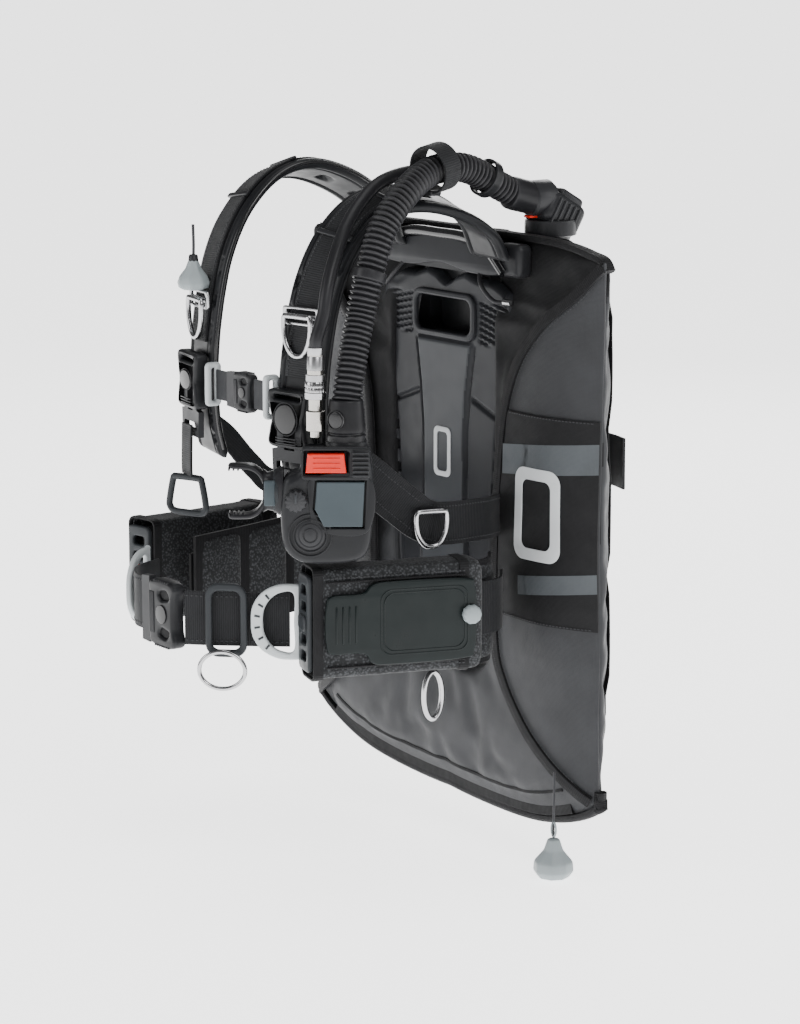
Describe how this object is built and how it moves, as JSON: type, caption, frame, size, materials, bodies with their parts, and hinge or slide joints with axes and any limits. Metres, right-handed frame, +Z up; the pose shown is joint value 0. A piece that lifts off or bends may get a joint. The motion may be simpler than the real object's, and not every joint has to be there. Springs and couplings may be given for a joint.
{
  "type": "buoyancy compensator vest",
  "caption": "Back-inflation diving buoyancy vest with moulded shoulder harness, horseshoe air cell, combined inflator and regulator, weight pockets and tank band.",
  "frame": {"origin": "middle of the flat tank cradle on the rear face of the backplate", "axes": "+Z up as worn, +X towards the wearer's left, +Y backwards out of the tank cradle; the wearer faces -Y"},
  "size_m": [0.47, 0.4705, 0.6765],
  "materials": {
    "black_polymer": "fine satin moulding",
    "gel_rubber": "satin moulded gel rubber",
    "hose_rubber": "smooth extruded rubber",
    "coated_nylon": "coated woven nylon, bound edges",
    "webbing": "ribbed polyester webbing",
    "steel": "polished stainless steel",
    "brass": "nickel-plated brass",
    "light_grey_polymer": "satin light grey moulding",
    "slate_grey_polymer": "satin slate grey moulding",
    "red_polymer": "glossy red button"
  },
  "bodies": {
    "harness": {"backplate": "black_polymer", "back_pad": "gel_rubber", "air_cell": "coated_nylon", "wing_cover_left": "coated_nylon", "wing_cover_right": "coated_nylon", "shoulder_strap_left": "gel_rubber", "shoulder_strap_right": "gel_rubber", "chest_slide_left": "steel", "chest_slide_right": "steel", "shoulder_buckle_left": "black_polymer", "shoulder_buckle_right": "black_polymer", "lower_webbing_left": "webbing", "lower_webbing_right": "webbing", "pocket_left": "coated_nylon", "pocket_right": "coated_nylon", "hip_pad_left": "gel_rubber", "hip_pad_right": "gel_rubber", "sternum_webbing_left": "webbing", "sternum_webbing_right": "webbing", "sternum_slide_left": "light_grey_polymer", "sternum_slide_right": "light_grey_polymer", "sternum_buckle": "black_polymer", "shoulder_elbow": "black_polymer", "hose_upper": "hose_rubber", "feed_hose": "hose_rubber", "feed_fitting": "steel", "hose_strap": "webbing", "hose_clip": "webbing", "waist_belt_left": "webbing", "waist_belt_right": "webbing", "waist_buckle": "black_polymer", "belt_keeper": "slate_grey_polymer", "tank_band": "webbing", "cam_buckle": "black_polymer"},
    "inflator": {"inflator_body": "black_polymer", "mouthpiece": "hose_rubber", "hose_lower": "hose_rubber", "feed_barrel": "brass", "feed_hose_end": "hose_rubber"},
    "inflate_button": {"inflate_button": "red_polymer"},
    "purge_button": {"purge_button": "slate_grey_polymer"},
    "breathing_knob": {"breathing_knob": "black_polymer"},
    "feed_sleeve": {"feed_sleeve": "steel"},
    "chest_ring_left": {"chest_ring_left": "steel"},
    "chest_ring_right": {"chest_ring_right": "steel"},
    "pull_ring_right": {"pull_ring_right": "slate_grey_polymer"},
    "lower_ring_left": {"lower_ring_left": "steel"},
    "sternum_tongue": {"sternum_tongue": "black_polymer"},
    "waist_tongue": {"waist_tongue": "black_polymer"},
    "shoulder_tongue_left": {"shoulder_tongue_left": "black_polymer"},
    "shoulder_tongue_right": {"shoulder_tongue_right": "black_polymer"},
    "belt_ring_left": {"belt_ring_left": "light_grey_polymer"},
    "belt_ring_right": {"belt_ring_right": "light_grey_polymer"},
    "belt_hoop": {"belt_hoop": "steel"},
    "wing_ring_left": {"wing_ring_left": "steel"},
    "weight_pouch_left": {"weight_pouch_left": "coated_nylon"},
    "weight_pouch_right": {"weight_pouch_right": "coated_nylon"},
    "dump_knob": {"dump_knob": "light_grey_polymer"},
    "shoulder_knob": {"shoulder_knob": "light_grey_polymer"},
    "cam_lever": {"cam_lever": "black_polymer"}
  },
  "joints": [
    {"name": "inflator_swing", "type": "hinge", "parent": "harness", "child": "inflator", "pos_m": [0.138, -0.222, 0.155], "axis": [-0.2291, -0.9734, 0], "range_deg": [0, 30]},
    {"name": "inflate_button_press", "type": "slide", "parent": "inflator", "child": "inflate_button", "axis": [-0.8192, 0.5736, 0], "range_m": [0, 0.003], "stiffness_N_per_m": 400},
    {"name": "purge_button_press", "type": "slide", "parent": "inflator", "child": "purge_button", "axis": [-0.8192, 0.5736, 0], "range_m": [0, 0.003], "stiffness_N_per_m": 400},
    {"name": "breathing_knob_turn", "type": "hinge", "parent": "inflator", "child": "breathing_knob", "pos_m": [0.1502, -0.2998, -0.0025], "axis": [-0.8192, 0.5736, 0], "range_deg": [0, 180]},
    {"name": "feed_sleeve_release", "type": "slide", "parent": "inflator", "child": "feed_sleeve", "axis": [0, 0, 1], "range_m": [0, 0.004], "stiffness_N_per_m": 400},
    {"name": "chest_ring_left_swing", "type": "hinge", "parent": "harness", "child": "chest_ring_left", "pos_m": [0.084, -0.25404, 0.15], "axis": [-0.9816, -0.1908, 0], "range_deg": [0, 90]},
    {"name": "chest_ring_right_swing", "type": "hinge", "parent": "harness", "child": "chest_ring_right", "pos_m": [-0.084, -0.25773, 0.15], "axis": [-0.9816, 0.1908, 0], "range_deg": [0, 90]},
    {"name": "pull_ring_right_swing", "type": "hinge", "parent": "harness", "child": "pull_ring_right", "pos_m": [-0.084, -0.268, -0.018], "axis": [-0.9397, -0.342, 0], "range_deg": [0, 90]},
    {"name": "lower_ring_left_swing", "type": "hinge", "parent": "harness", "child": "lower_ring_left", "pos_m": [0.1385, -0.145, -0.03], "axis": [-0.2079, -0.9781, 0], "range_deg": [0, 80]},
    {"name": "sternum_buckle_release", "type": "slide", "parent": "harness", "child": "sternum_tongue", "axis": [-1, 0, 0], "range_m": [0, 0.02]},
    {"name": "waist_buckle_release", "type": "slide", "parent": "harness", "child": "waist_tongue", "axis": [-1, 0, 0], "range_m": [0, 0.03]},
    {"name": "shoulder_left_release", "type": "slide", "parent": "harness", "child": "shoulder_tongue_left", "axis": [0, 0, -1], "range_m": [0, 0.018]},
    {"name": "shoulder_right_release", "type": "slide", "parent": "harness", "child": "shoulder_tongue_right", "axis": [0, 0, -1], "range_m": [0, 0.018]},
    {"name": "belt_ring_left_tilt", "type": "hinge", "parent": "harness", "child": "belt_ring_left", "pos_m": [0.1095, -0.271, -0.122], "axis": [0, 0, 1], "range_deg": [0, 15]},
    {"name": "belt_ring_right_tilt", "type": "hinge", "parent": "harness", "child": "belt_ring_right", "pos_m": [-0.118, -0.2935, -0.122], "axis": [0, 0, -1], "range_deg": [0, 15]},
    {"name": "belt_hoop_swing", "type": "hinge", "parent": "harness", "child": "belt_hoop", "pos_m": [0.0715, -0.3285, -0.158], "axis": [-0.682, -0.7314, 0], "range_deg": [0, 35]},
    {"name": "wing_ring_left_swing", "type": "hinge", "parent": "harness", "child": "wing_ring_left", "pos_m": [0.137, -0.142, -0.18], "axis": [0, -1, 0], "range_deg": [0, 45]},
    {"name": "weight_pouch_left_pull", "type": "slide", "parent": "harness", "child": "weight_pouch_left", "axis": [-0.2924, -0.9563, 0], "range_m": [0, 0.15]},
    {"name": "weight_pouch_right_pull", "type": "slide", "parent": "harness", "child": "weight_pouch_right", "axis": [0.1392, -0.9903, 0], "range_m": [0, 0.15]},
    {"name": "lower_dump_pull", "type": "slide", "parent": "harness", "child": "dump_knob", "axis": [0, 0, -1], "range_m": [0, 0.02], "stiffness_N_per_m": 150},
    {"name": "shoulder_dump_pull", "type": "slide", "parent": "harness", "child": "shoulder_knob", "axis": [0, -1, 0], "range_m": [0, 0.015], "stiffness_N_per_m": 150},
    {"name": "cam_lever_open", "type": "hinge", "parent": "harness", "child": "cam_lever", "pos_m": [0.05, 0.111, -0.012], "axis": [0, 0, -1], "range_deg": [0, 120]}
  ]
}
